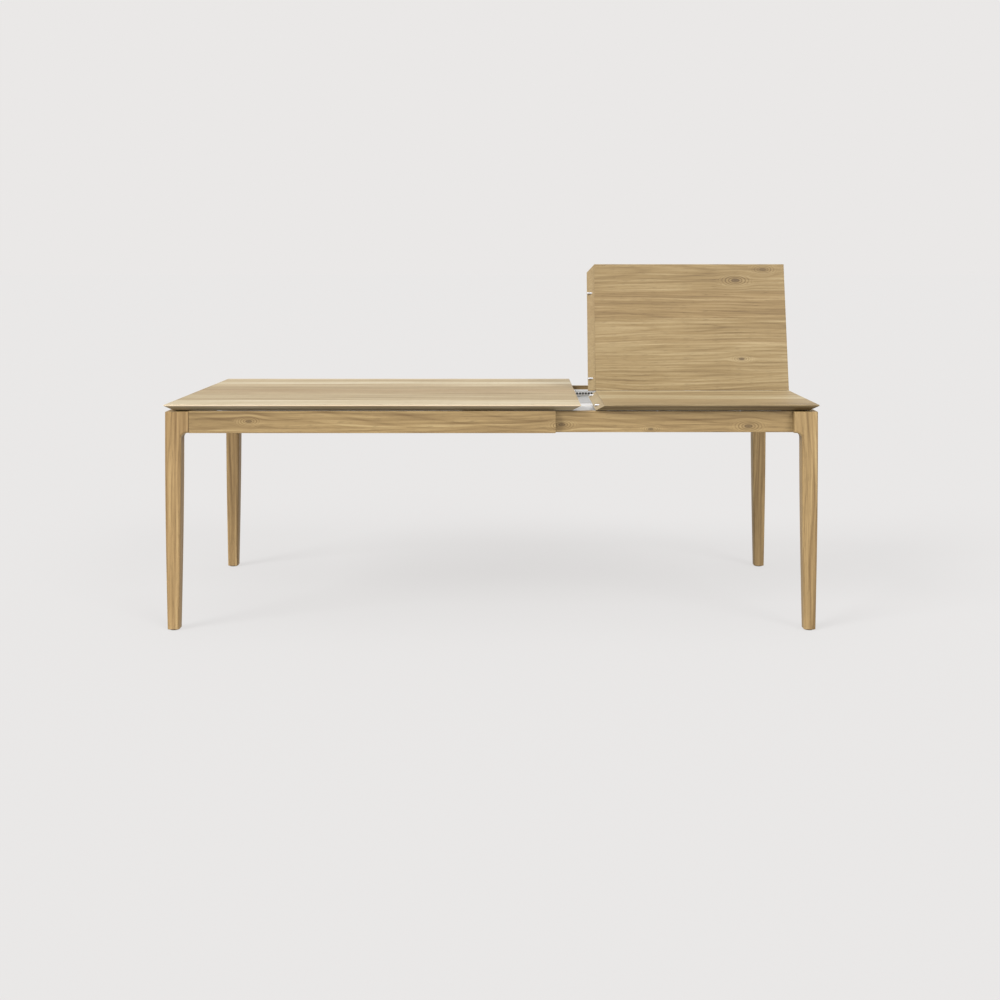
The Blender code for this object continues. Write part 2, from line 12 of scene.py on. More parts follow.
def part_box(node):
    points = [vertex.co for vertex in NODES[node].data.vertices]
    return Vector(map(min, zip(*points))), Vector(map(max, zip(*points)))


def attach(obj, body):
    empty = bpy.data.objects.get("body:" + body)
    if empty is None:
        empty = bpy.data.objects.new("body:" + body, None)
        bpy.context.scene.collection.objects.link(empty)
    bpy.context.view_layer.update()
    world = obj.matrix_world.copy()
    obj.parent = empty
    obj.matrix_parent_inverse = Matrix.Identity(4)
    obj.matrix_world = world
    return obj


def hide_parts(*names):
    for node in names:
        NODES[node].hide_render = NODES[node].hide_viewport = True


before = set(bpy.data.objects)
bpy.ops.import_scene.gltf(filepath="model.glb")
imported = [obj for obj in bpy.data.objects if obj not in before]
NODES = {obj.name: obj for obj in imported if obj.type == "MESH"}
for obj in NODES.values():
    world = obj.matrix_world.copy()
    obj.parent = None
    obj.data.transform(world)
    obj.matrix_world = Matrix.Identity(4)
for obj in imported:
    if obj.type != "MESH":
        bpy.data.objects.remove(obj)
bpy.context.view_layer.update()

# Main top: one wide board of oiled oak, glued up from staves that run the length of the table. All four
# edges are undercut behind a thin lip, and every arris is eased with fine paper. It is screwed down to the
# outer slide members, and its right edge is bored for four nylon bushes that take the leaf's alignment
# pins.


def linear(hex_colour):
    """An sRGB hex colour as linear red, green, blue and alpha."""
    parts = [int(hex_colour[k:k + 2], 16) / 255 for k in (1, 3, 5)]
    return [part / 12.92 if part <= 0.04045 else ((part + 0.055) / 1.055) ** 2.4 for part in parts] + [1.0]


def add_node(tree, kind, sockets=(), out=0, stops=(), **settings):
    """Adds a shader node and returns one of its outputs. After a space, kind holds the node's operation.

    sockets are input values or other nodes' outputs, in order or by name. stops are a colour ramp's places
    with hex colours or grey values, and settings are the node's properties.
    """
    kind, _, operation = kind.partition(" ")
    node = tree.nodes.new("ShaderNode" + kind)
    settings |= {"operation": operation} if operation else {}
    for key, value in settings.items():
        setattr(node, key, value)
    for key, value in sockets.items() if isinstance(sockets, dict) else enumerate(sockets):
        if isinstance(value, bpy.types.NodeSocket):
            tree.links.new(value, node.inputs[key])
        elif value is not None:
            node.inputs[key].default_value = value
    while stops and len(node.color_ramp.elements) < len(stops):
        node.color_ramp.elements.new(1.0)
    for k, (place, colour) in enumerate(stops):
        colour = linear(colour) if isinstance(colour, str) else (colour,) * 3 + (1,)
        node.color_ramp.elements[k].position = place
        node.color_ramp.elements[k].color = colour
    return node.outputs[out]


def new_material(name):
    """A material with its node tree, its Principled shader and the point on the object that is shaded."""
    made = bpy.data.materials.new(name)
    made.use_nodes = True
    tree = made.node_tree
    return made, tree, tree.nodes["Principled BSDF"], add_node(tree, "TexCoord", out=3)


RING_WIDTH = 0.0075
FIBRE_WIDTH = 0.009
CLOUD_WIDTH = 0.050
PORE_WIDTH = 0.0022
LIP_DEPTH = 0.006
OIL_ROUGHNESS = 0.52
KNOT = "#3A2A1A"
# Painted highlight: the paler oak tone that the lip under the board's face is mixed towards.
LIP_HIGHLIGHT = "#BAA78D"


def oiled_oak(
    name, tones, turn=(0, 0, 0), origin=(0, 0, 0), stave=0.4, seed=0.0,
    figure=1.0, spread=0.4, knots=(), lip=0.0,
):
    """European oak, sawn, planed, sanded and oiled; the boards are cut lengthwise from the trunk.

    tones are the hex colours of its pale, middle and dark wood and of its pores. turn and origin lay the
    pattern with x along the grain, y across the staves and z into the wood. Each stave is cut from rings
    round a trunk whose centre lies a few centimetres off it and drifts, so long lines open into arches.
    Rings, fibres and pores are drawn coarser than the real 2 to 3 mm, 0.5 mm and 0.2 mm, so that they
    show. The eye sees warm and cool staves, long fine lines, short dark pores, a soft sheen, and an even,
    paler grain on cut ends.

    figure is the strength of the lines, and spread that of the staves' difference in tone. knots are
    (along, across, size) in metres: the lines bow round each one, and rings close about its dark heart.
    lip is how strongly the upright edge just under the face is painted paler: a painted highlight where the
    lip catches the light.
    """
    made, tree, shader, point = new_material(name)
    add = partial(add_node, tree)
    smooth = {"interpolation_type": "SMOOTHSTEP"}
    rotation = Matrix.Identity(3)
    for axis, angle in zip("XYZ", turn):
        rotation = Matrix.Rotation(angle, 3, axis) @ rotation
    place = add("Mapping", (point, tuple(-(rotation @ Vector(origin))), turn))
    along, across, deep = (add("SeparateXYZ", (place,), out=k) for k in range(3))
    cores, swirls = [], []
    for knot_along, knot_across, size in knots:
        near = add("VectorMath SUBTRACT", (place, (knot_along, knot_across, 0)))
        near = add("VectorMath MULTIPLY", (near, (0.45 / size, 1 / size, 0)))
        reach = add("VectorMath LENGTH", (near,), out=1)
        bend = add("MapRange", (reach, 0.0, 3.0, 1.0, 0.0), interpolation_type="SMOOTHERSTEP")
        shove = add("Math MULTIPLY", (add("SeparateXYZ", (near,), out=1), bend))
        across = add("Math MULTIPLY_ADD", (shove, -0.75 * size, across))
        cores.append(add("MapRange", (reach, 0.15, 0.7, 1.0, 0.0), **smooth))
        circles = add("Math FRACT", (add("Math MULTIPLY", (reach, 3.0)),))
        swirls.append((circles, add("MapRange", (reach, 1.0, 2.3, 1.0, 0.0), **smooth)))

    # Each stave has three chance values of its own, which choose its trunk and its tone.
    number = add("Math FLOOR", (add("Math MULTIPLY_ADD", (across, 1 / stave, 40.4 + seed)),))
    draw = add("TexWhiteNoise", {"W": number}, out=1, noise_dimensions="1D")
    first, second, third = (add("SeparateColor", (draw,), out=k) for k in range(3))
    own = add("Math MULTIPLY", (number, 3.7))
    slow = (add("Math MULTIPLY", (along, 1.6)), add("Math MULTIPLY", (across, 4.0)), own)
    slow = {"Vector": add("CombineXYZ", slow), "Scale": 1.0, "Detail": 2.0, "Roughness": 0.45}
    drift = add("Math MULTIPLY_ADD", (add("TexNoise", slow), 0.05, -0.13))
    local = add("Math MULTIPLY_ADD", (number, -stave, across))
    local = add("Math ADD", (local, (39.9 + seed) * stave))
    trunk_y = add("Math ADD", (local, add("Math MULTIPLY_ADD", (first, 0.22, drift))))
    trunk_z = add("Math MULTIPLY_ADD", (second, 0.05, 0.02))
    trunk_z = add("Math ADD", (trunk_z, add("Math MULTIPLY_ADD", (along, 0.03, deep))))
    rings = add("VectorMath LENGTH", (add("CombineXYZ", (0.0, trunk_y, trunk_z)),), out=1)
    ring = add("Math FRACT", (add("Math MULTIPLY", (rings, 1 / RING_WIDTH)),))
    for circles, fade in swirls:
        ring = add("Mix", {"Factor": fade, 2: ring, 3: circles})
    ring = add("ValToRGB", (ring,), stops=((0.0, 0.1), (0.18, 0.62), (0.6, 0.8), (0.86, 0.6), (1.0, 0.1)))

    # Fibres, clouds and pores are one noise at three widths, drawn out along the grain.
    noises = []
    for run, width, shift, detail, rough in (
        (1.5, FIBRE_WIDTH, own, 5.0, 0.62),
        (2.2, CLOUD_WIDTH, own, 3.0, 0.5),
        (26.0, PORE_WIDTH, 0.0, 2.0, 0.5),
    ):
        drawn_out = (
            add("Math MULTIPLY_ADD", (along, run, shift)),
            add("Math MULTIPLY", (trunk_y, 1 / width)),
            add("Math MULTIPLY", (deep, 1 / width)),
        )
        noise = {"Vector": add("CombineXYZ", drawn_out), "Scale": 1.0, "Detail": detail, "Roughness": rough}
        noises.append(add("TexNoise", noise))
    fibre, cloud, pore = noises
    pore = add("MapRange", (pore, 0.42, 0.30, 0.0, 1.0))

    shade = add("Math MULTIPLY_ADD", (fibre, 1.7 * figure, 0.5 - 0.85 * figure))
    shade = add("Math MULTIPLY_ADD", (add("Math SUBTRACT", (ring, 0.5)), 0.30 * figure, shade))
    shade = add("Math MULTIPLY_ADD", (add("Math SUBTRACT", (cloud, 0.5)), 0.6 * figure, shade))
    for _, fade in swirls:
        dark_ring = add("Math MULTIPLY", (add("Math SUBTRACT", (ring, 0.66)), fade))
        shade = add("Math MULTIPLY_ADD", (dark_ring, 0.8 * figure, shade))
    shade = add("Math MULTIPLY_ADD", (add("Math SUBTRACT", (third, 0.5)), spread, shade))

    # Cut ends face along the grain, and the lip faces across it just under the board's face, where a painted
    # highlight makes it paler.
    normal = add("TexCoord", out=1)
    facing = add("VectorMath DOT_PRODUCT", (normal, rotation.transposed() @ Vector((1, 0, 0))), out=1)
    cut_end = add("MapRange", (add("Math ABSOLUTE", (facing,)), 0.3, 0.55, 0.0, 0.75))
    shade = add("Mix", {"Factor": cut_end, 2: shade, 3: 0.62})
    # Painted highlight mask: upright faces across the grain, within LIP_DEPTH under the board's face.
    edge = add("VectorMath DOT_PRODUCT", (normal, rotation.transposed() @ Vector((0, 1, 0))), out=1)
    edge = add("MapRange", (add("Math ABSOLUTE", (edge,)), 0.4, 0.8, 0.0, lip))
    edge = add("Math MULTIPLY", (edge, add("Math GREATER_THAN", (deep, -LIP_DEPTH))))

    colour = {"out": 2, "data_type": "RGBA"}
    wood = add("ValToRGB", (shade,), stops=((0.0, tones[2]), (0.5, tones[1]), (1.0, tones[0])))
    hue = {"Factor": first, 6: wood, 7: (1.02, 0.965, 0.94, 1)}
    wood = add("Mix", hue, blend_type="MULTIPLY", **colour)
    spots = add("Math MULTIPLY", (pore, 0.45 * figure))
    wood = add("Mix", {"Factor": spots, 6: wood, 7: linear(tones[3])}, **colour)
    # Painted highlight: the lip is mixed towards a paler tone.
    wood = add("Mix", {"Factor": edge, 6: wood, 7: linear(LIP_HIGHLIGHT)}, **colour)
    for core in cores:
        heart = add("Math MULTIPLY", (core, add("Math MULTIPLY", (fibre, 1.2))))
        wood = add("Mix", {"Factor": heart, 6: wood, 7: linear(KNOT)}, **colour)
    tree.links.new(wood, shader.inputs["Base Color"])
    shader.inputs["Specular IOR Level"].default_value = 0.3
    sheen = add("MapRange", (fibre, 0.2, 0.8, OIL_ROUGHNESS - 0.06, OIL_ROUGHNESS + 0.1))
    tree.links.new(sheen, shader.inputs["Roughness"])
    height = add("Math MULTIPLY_ADD", (pore, -0.6, fibre))
    relief = add("Bump", {"Strength": 0.2, "Distance": 0.0005, "Height": height})
    tree.links.new(relief, shader.inputs["Normal"])
    return made


def finish_piece(piece, body, material, smooth=35):
    """Gives a new piece its finish and its body. Faces shade by their area, so that flats stay flat."""
    piece.data.materials.clear()
    piece.data.materials.append(material)
    piece.data.shade_smooth()
    piece.data.set_sharp_from_angle(angle=radians(smooth))
    weighted = piece.modifiers.new("flat_faces", "WEIGHTED_NORMAL")
    weighted.keep_sharp = True
    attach(piece, body)
    return piece


def eased(node, name, body, material, width, least=0.012, turns=2):
    """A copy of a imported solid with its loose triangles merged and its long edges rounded."""
    mesh = NODES[node].data.copy()
    mesh.name = name
    shape = bmesh.new()
    shape.from_mesh(mesh)
    bmesh.ops.remove_doubles(shape, verts=shape.verts, dist=1e-5)
    bmesh.ops.dissolve_limit(shape, angle_limit=radians(0.5), verts=shape.verts, edges=shape.edges)
    long_edges = [
        edge for edge in shape.edges
        if edge.calc_length() > least and edge.is_manifold and edge.calc_face_angle() > radians(25)
    ]
    bmesh.ops.bevel(
        shape, geom=long_edges, offset=width, segments=turns, profile=0.5, affect="EDGES", clamp_overlap=False
    )
    shape.to_mesh(mesh)
    shape.free()
    piece = bpy.data.objects.new(name, mesh)
    bpy.context.scene.collection.objects.link(piece)
    finish_piece(piece, body, material)
    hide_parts(node)
    return piece


# Painted sheen: the main top's tones are paler and greyer than the leaf's, for the pale sheen the flat top
# catches from the light.
TOP_TONES_PAINTED_SHEEN = ("#A29983", "#897B5E", "#685637", "#58472C")
TOP_STAVE = 0.096
TOP_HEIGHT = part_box("main_top")[1].z
TOP_OAK = oiled_oak(
    "oiled_oak_main_top_painted_sheen", TOP_TONES_PAINTED_SHEEN, origin=(0, 0, TOP_HEIGHT), stave=TOP_STAVE,
    seed=3.0, figure=1.15, spread=0.55, lip=0.85,
)
eased("main_top", "main_top_board", "main_frame", TOP_OAK, 0.0014)

# Legs: four posts of solid oak, each tapered to its foot, with a head that runs out along both aprons over
# a cut fillet. The faces are planed and every long arris is rounded. The aprons are glued into the heads.
LEG_WIDTH = 0.054
FOOT_WIDTH = 0.040
TAPER_TOP = 0.640
HEAD_WIDTH = 0.080
FILLET = 0.020
ARRIS = 0.007
FOOT_EASE = 0.0012
TAPER_START = 0.060
OPENING = 0.004
OAK_FRAME_TONES = ("#9F8D66", "#836E4A", "#5F4B2E", "#524229")
# Painted light: the legs' tones are the frame's oak made lighter, for the light the legs catch.
LEG_TONES_PAINTED_LIGHT = ("#AA976D", "#8C7650", "#655031", "#58472C")


def skin(name, rings, body, material, smooth=35, replaced=(), capped=True):
    """Joins rings of points into closed shells. rings is (shells, rings, points, 3).

    Neighbouring rings are joined by quads and the two end rings are closed flat. The sign of the enclosed
    volume, the sum of each quad's centre dotted with its area vector, says whether the faces are turned.
    """
    rings = np.asarray(rings, float)
    rings = rings[None] if rings.ndim == 3 else rings
    index = np.arange(rings[..., 0].size).reshape(rings.shape[:3])
    after = np.roll(index, -1, axis=2)
    quads = np.stack([index[:, :-1], after[:, :-1], after[:, 1:], index[:, 1:]], axis=-1).reshape(-1, 4)
    points = rings.reshape(-1, 3)
    corners = points[quads] - points.mean(axis=0)
    area = np.cross(corners[:, 2] - corners[:, 0], corners[:, 3] - corners[:, 1])
    caps = np.concatenate([index[:, 0, ::-1], index[:, -1]]) if capped else index[:0, 0]
    shells = np.array_split(np.einsum("ij,ij->i", corners.mean(axis=1), area), len(rings))
    flip = -1 if shells[0].sum() < 0 else 1
    faces = quads[:, ::flip].tolist() + caps[:, ::flip].tolist()
    mesh = bpy.data.meshes.new(name)
    mesh.from_pydata(points.tolist(), [], faces)
    shape = bmesh.new()
    shape.from_mesh(mesh)
    bmesh.ops.remove_doubles(shape, verts=shape.verts, dist=1e-6)
    bmesh.ops.dissolve_degenerate(shape, edges=shape.edges, dist=1e-6)
    shape.to_mesh(mesh)
    shape.free()
    piece = bpy.data.objects.new(name, mesh)
    bpy.context.scene.collection.objects.link(piece)
    finish_piece(piece, body, material, smooth)
    if replaced:
        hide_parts(*replaced)
    return piece


def leg_rings(node, apron_bottom):
    """A leg as rings round its post, from the foot up: rows follow its profile and columns go round it.

    Below the head a ring is a rounded square, whose half width is foot/2 + (leg - foot)/2 * sin(pi/2 *
    share of the taper's height). In the head the ring's two inner sides move out along the aprons: at
    angle a the fillet stands at centre + (FILLET + offset) * (cos a, sin a), where offset is how far the
    arris has turned.
    """
    low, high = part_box(node)
    heights = np.concatenate([[low.z, low.z + FOOT_EASE], np.linspace(TAPER_START, TAPER_TOP, 9)])
    share = np.clip((heights - low.z) / (TAPER_TOP - low.z), 0, 1)
    half = (FOOT_WIDTH + (LEG_WIDTH - FOOT_WIDTH) * np.sin(share * pi / 2)) / 2
    half[0] -= FOOT_EASE
    angles = np.linspace(pi, pi / 2, 9)
    turn = np.linspace(pi / 2, 0, 6)
    offset = np.concatenate([ARRIS * (1 - np.cos(turn)), ARRIS * (1 - np.cos(turn[::-1]))])
    depth = np.concatenate([ARRIS * (1 - np.sin(turn)), LEG_WIDTH - ARRIS * (1 - np.sin(turn[::-1]))])

    # The inner side, as distance from the outer corner along the apron, depth into the leg, and height: first
    # the post, then the fillet, then the head's end.
    middle = LEG_WIDTH / 2
    near, far = depth[:turn.size], LEG_WIDTH - depth[turn.size:]
    post_in = np.concatenate([middle - half[:, None] + near, middle + half[:, None] - far], axis=1)
    fillet_out = LEG_WIDTH + FILLET + (FILLET + offset) * np.cos(angles)[:, None]
    fillet_up = apron_bottom - FILLET + (FILLET + offset) * np.sin(angles)[:, None]
    head_in = np.repeat(depth[None], len(angles), axis=0)
    head_up = np.stack([apron_bottom + offset, np.full(offset.size, high.z)])
    out = [middle + half[:, None] - offset, fillet_out, np.full((2, offset.size), HEAD_WIDTH)]
    out = np.concatenate(out)
    into = np.concatenate([post_in, head_in, head_in[:2]])
    up = np.concatenate([np.repeat(heights[:, None], offset.size, axis=1), fillet_up, head_up])
    # Past the middle of the inner arris a post's point stays on the diagonal until the head opens.
    bend = LEG_WIDTH - ARRIS * (1 - cos(pi / 4))
    halfway = np.argmin(np.abs(turn[::-1] - pi / 4)) + turn.size
    diagonal = (out[:, halfway:halfway + 1] + into[:, halfway:halfway + 1]) / 2
    opened = np.clip((out[:, -1:] - bend) / OPENING, 0, 1)
    beyond = slice(halfway, None)
    out[:, beyond] = diagonal * (1 - opened) + np.maximum(out[:, beyond], bend) * opened
    into[:, beyond] = diagonal * (1 - opened) + np.maximum(into[:, beyond], bend) * opened
    crook = diagonal * (1 - opened) + LEG_WIDTH * opened
    level = up[:, :1]
    side_x = np.stack([out, into, up], axis=-1)
    side_y = np.stack([into, out, up], axis=-1)[:, ::-1]
    reentrant = np.stack([crook, crook, up[:, -1:]], axis=-1)
    rows = np.concatenate([half, np.full(len(angles) + 2, LEG_WIDTH / 2)])[:, None]
    sweep = np.linspace(pi, 1.5 * pi, 7)
    outer_x = LEG_WIDTH / 2 - rows + ARRIS + ARRIS * np.cos(sweep)
    outer_y = LEG_WIDTH / 2 - rows + ARRIS + ARRIS * np.sin(sweep)
    outer = np.stack([outer_x, outer_y, np.repeat(level, len(sweep), axis=1)], axis=-1)
    ring = np.concatenate([outer, side_x, reentrant, side_y], axis=1)
    x_out, x_in = (low.x, 1) if low.x < 0 else (high.x, -1)
    y_out, y_in = (low.y, 1) if low.y < 0 else (high.y, -1)
    return ring * (x_in, y_in, 1) + (x_out, y_out, 0)


UPRIGHT_GRAIN = (pi / 2, 0, pi / 2)
LEG_OAK = oiled_oak("oiled_oak_legs_painted_light", LEG_TONES_PAINTED_LIGHT, turn=UPRIGHT_GRAIN, seed=6.1)
APRON_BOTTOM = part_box("apron_front_outer")[0].z
LEGS = {"leg_front_left": "main_frame", "leg_rear_left": "main_frame"}
LEGS |= {"leg_front_right": "extension_frame", "leg_rear_right": "extension_frame"}
for leg, body in LEGS.items():
    skin(leg + "_oak", leg_rings(leg, APRON_BOTTOM), body, LEG_OAK, replaced=[leg])


# Foot glides: moulded black plastic discs with a rounded rim, a little smaller than the foot. One is nailed
# under each leg, so that the oak stands clear of the floor.
GLIDE_EASE = 0.0012


def circle_about(direction, segments):
    """A unit direction, the angles of a circle about it, and the circle's points.

    At angle t a point is cos t * across + sin t * direction x across, where across is any unit normal.
    """
    direction = np.array(Vector(direction).normalized())
    across = np.array(Vector(direction).orthogonal().normalized())
    angle = np.arange(segments) * 2 * pi / segments
    circle = np.cos(angle)[:, None] * across + np.sin(angle)[:, None] * np.cross(direction, across)
    return direction, angle, circle


def turned(profile, places, direction, segments=32):
    """Rings of a turned piece: the profile, (radius, distance along), swept round a line at each place.

    A point is place + along * direction + radius * the circle's point.
    """
    direction, _, circle = circle_about(direction, segments)
    radius, along = np.array(profile, float).T
    rings = radius[:, None, None] * circle + along[:, None, None] * direction
    return rings + np.array([tuple(place) for place in places])[:, None, None]


def middle_of(node):
    """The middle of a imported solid's box."""
    low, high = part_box(node)
    return (low + high) / 2


def plain_material(name, colour, rough, metallic=0.0, mottle=900.0, ease=0.06, stretch=(1, 1, 1)):
    """A moulded plastic or a plated metal: one colour, with a fine mottle of tone, roughness and height.

    mottle is the number of its grains in a metre, ease is how far they change the tone, and stretch draws
    them out along an axis.
    """
    made, tree, shader, point = new_material(name)
    place = add_node(tree, "Mapping", {"Vector": point, "Scale": stretch})
    grain = add_node(tree, "TexNoise", {"Vector": place, "Scale": mottle, "Detail": 3.0, "Roughness": 0.6})
    dark = [part * (1 - 2 * ease) for part in linear(colour)[:3]] + [1.0]
    pale = [min(part * (1 + 2 * ease), 1.0) for part in linear(colour)[:3]] + [1.0]
    tone = add_node(tree, "Mix", {"Factor": grain, 6: dark, 7: pale}, out=2, data_type="RGBA")
    tree.links.new(tone, shader.inputs["Base Color"])
    spread = add_node(tree, "MapRange", (grain, 0.2, 0.8, rough - 0.08, rough + 0.08))
    tree.links.new(spread, shader.inputs["Roughness"])
    relief = add_node(tree, "Bump", {"Strength": 0.05, "Distance": 0.0003, "Height": grain})
    tree.links.new(relief, shader.inputs["Normal"])
    shader.inputs["Metallic"].default_value = metallic
    return made


# The plastic gives a dull, dark line where the leg meets the floor; its grain is 1 mm.
BLACK_PLASTIC = plain_material("moulded_black_plastic", "#1E1E1F", 0.5)
for leg, body in LEGS.items():
    glide = leg.replace("leg", "foot_glide")
    low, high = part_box(glide)
    radius = (high.x - low.x) / 2
    profile = [(radius - GLIDE_EASE, 0.0), (radius - GLIDE_EASE / 4, GLIDE_EASE / 3), (radius, GLIDE_EASE)]
    profile += [(radius, high.z)]
    rings = turned(profile, [(middle_of(glide).x, middle_of(glide).y, 0)], (0, 0, 1))
    skin(glide + "_disc", rings, body, BLACK_PLASTIC, replaced=[glide])


# Aprons: solid oak rails on edge, planed and lightly rounded. The outer pair is glued to the left legs and
# stays with the main top, and the inner pair is glued to the right legs and slides between them.


def bar_rings(node, axis, ease, steps=3):
    """A straight bar as rings along an axis of its box: rounded rectangles, drawn in at both ends.

    A corner's point is its centre + ease * (cos t, sin t), with t over each quarter turn.
    """
    low, high = (np.array(corner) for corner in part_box(node))
    one, two = [k for k in range(3) if k != axis]
    turn = (np.arange(4)[:, None] * pi / 2 + np.linspace(0, pi / 2, steps + 1)).ravel()
    side_one = np.repeat([1, -1, -1, 1], steps + 1)
    side_two = np.repeat([1, 1, -1, -1], steps + 1)
    centre = (low + high) / 2
    half = (high - low) / 2
    draw = np.array([ease, 0.3 * ease, 0.0, 0.0, 0.3 * ease, ease])
    place = np.array([low[axis], low[axis] + 0.3 * ease, low[axis] + ease])
    place = np.concatenate([place, [high[axis] - ease, high[axis] - 0.3 * ease, high[axis]]])
    rings = np.empty((6, turn.size, 3))
    rings[..., axis] = place[:, None]
    rings[..., one] = centre[one] + side_one * (half[one] - ease - draw[:, None]) + ease * np.cos(turn)
    rings[..., two] = centre[two] + side_two * (half[two] - ease - draw[:, None]) + ease * np.sin(turn)
    return rings


FRONT_GRAIN = (pi / 2, 0, 0)
CROSS_GRAIN = (0, 0, -pi / 2)
APRON_EASE = 0.0012
APRON_OAK = oiled_oak(
    "oiled_oak_aprons", OAK_FRAME_TONES, turn=FRONT_GRAIN, seed=2.3,
    knots=((-0.815, -0.704, 0.012), (0.237, -0.690, 0.013), (0.537, -0.675, 0.010), (0.867, -0.685, 0.015)),
)
END_OAK = oiled_oak("oiled_oak_cross_pieces", OAK_FRAME_TONES, turn=CROSS_GRAIN, seed=5.3)
for end in ("outer", "inner"):
    for side in ("front", "rear"):
        node = f"apron_{side}_{end}"
        body = "main_frame" if end == "outer" else "extension_frame"
        skin(node + "_rail", bar_rings(node, 0, APRON_EASE), body, APRON_OAK, replaced=[node])
for end, body in (("left", "main_frame"), ("right", "extension_frame")):
    node = f"apron_{end}_end"
    skin(node + "_rail", bar_rings(node, 1, APRON_EASE), body, END_OAK, replaced=[node])

# Cross rails: three flat oak rails, planed, with lightly rounded arrises, let in between the inner aprons
# and glued. Two of them carry the slides' inner members, and the third ties the aprons' far ends together.
for node in ("tie_rail", "cross_rail_middle", "cross_rail_end"):
    rings = bar_rings(node, 1, APRON_EASE)
    skin(node + "_oak", rings, "extension_frame", END_OAK, replaced=[node])


# Corner braces: pressed steel plates, zinc plated, across the corners of the frame. Each is drawn up by a
# nut on a hanger bolt that is screwed into the inner corner of the leg.
BOLT_PROUD = 0.0045
BOLT_DEPTH = 0.0785
BOLT_PROFILE = [(0.0028, 0.0), (0.003, 0.0006), (0.003, 0.079), (0.0022, 0.0842)]
NUT_SET = 0.0042
NUT_FLATS = 0.010
NUT_HEIGHT = 0.005
NUT_BORE = 0.0028
# Zinc plate gives a soft grey shine with a spangle of about 4 mm.
ZINC = plain_material("zinc_plated_steel", "#B9BABD", 0.38, metallic=1.0, mottle=260.0, ease=0.08)


def nut_rings(place, direction, flats, height, bore, segments=48):
    """A hexagon nut: its radius at angle t is (flats / 2) / cos((t mod 60 degrees) - 30 degrees), and both
    faces are turned down to a round chamfer."""
    direction, angle, circle = circle_about(direction, segments)
    hexagon = flats / 2 / np.cos(angle % (pi / 3) - pi / 6)
    round_off = np.minimum(hexagon, flats / 2 * 1.03)
    inside = np.full(segments, bore)
    radius = np.stack([inside, round_off, hexagon, hexagon, round_off, inside])
    along = np.array([0, 0, 0.12, 0.88, 1, 1]) * height
    return radius[..., None] * circle + along[:, None, None] * direction + np.array(tuple(place))


for leg, body in LEGS.items():
    brace = leg.replace("leg", "corner_brace")
    eased(brace, brace + "_plate", body, ZINC, 0.0006)
    bolt = leg.replace("leg", "brace_bolt")
    low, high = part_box(bolt)
    inward = Vector((-1 if low.x > 0 else 1, -1 if low.y > 0 else 1, 0)).normalized()
    tip_x = low.x if low.x > 0 else high.x
    tip_y = low.y if low.y > 0 else high.y
    head = Vector((tip_x, tip_y, (low.z + high.z) / 2)) - inward * BOLT_PROUD
    shank = turned(BOLT_PROFILE, [head - inward * BOLT_DEPTH], inward, 20)
    skin(bolt + "_shank", shank, body, ZINC, replaced=[bolt])
    nut = nut_rings(head - inward * NUT_SET, inward, NUT_FLATS, NUT_HEIGHT, NUT_BORE)
    skin(bolt + "_nut", nut, body, ZINC)


# Slides: anodised aluminium extrusions, three members a side, sawn to length. The outer ones are screwed
# under the main top, the middle ones run in them, and the inner ones are held on the sliding frame by
# milled blocks. The anodising gives a pale satin grey, with draw lines under 1 mm wide along the extrusion.
ALUMINIUM = plain_material(
    "anodised_aluminium", "#E9EAEA", 0.42, metallic=1.0, mottle=1400.0, ease=0.04, stretch=(0.02, 1, 1)
)
SLIDES = {"slide_outer": "main_frame", "slide_middle": None, "slide_inner": "extension_frame"}
for side in ("front", "rear"):
    for member, body in SLIDES.items():
        node = f"{member}_{side}"
        eased(node, node + "_extrusion", body or node, ALUMINIUM, 0.0003, least=0.02, turns=1)
    for place in ("middle", "end"):
        node = f"slide_block_{side}_{place}"
        eased(node, node + "_plate", "extension_frame", ALUMINIUM, 0.0005, least=0.004)

# Ball cages: a strip of zinc plated steel in each slide, punched with a row of holes that hold the balls
# apart. A thin black strip behind it is painted shade: it shows as a dark round in each hole, where the
# inside of the slide lies in shadow.
CAGE_PITCH = 0.0115
CAGE_HOLE = 0.0042
CAGE_LOW, CAGE_HIGH = 0.7112, 0.7284
CAGE_X = np.arange(0.2425, 0.4075, CAGE_PITCH)
CAGE_OUT = 0.2809
CAGE_THICK = 0.0012
SHADE_STRIP_GAPS = (0.0001, 0.0003)
SHADE_STRIP_EASE = 0.00005
SHADE_STRIP_SHORT = 0.001
SHADE_STRIP_LOW = 0.002


def cage_rings(side):
    """One punched cell per hole. At angle t the rim of its rectangle stands at the least of
    (pitch / 2) / |cos t| and (height / 2) / |sin t| from the hole's centre, and the hole at its radius."""
    angle = np.arange(32) * 2 * pi / 32 + pi / 32
    tall = (CAGE_HIGH - CAGE_LOW) / 2
    rim = np.minimum(CAGE_PITCH / 2 / np.abs(np.cos(angle)), tall / np.abs(np.sin(angle)))
    hole = np.full(angle.size, CAGE_HOLE)
    radius = np.stack([rim, hole, hole, rim, rim])
    depth = side * (CAGE_OUT - np.array([1, 1, 0, 0, 1]) * CAGE_THICK)
    rings = np.empty((CAGE_X.size, 5, angle.size, 3))
    rings[..., 0] = CAGE_X[:, None, None] + radius * np.cos(angle)
    rings[..., 1] = depth[:, None]
    rings[..., 2] = (CAGE_LOW + CAGE_HIGH) / 2 + radius * np.sin(angle)
    return rings


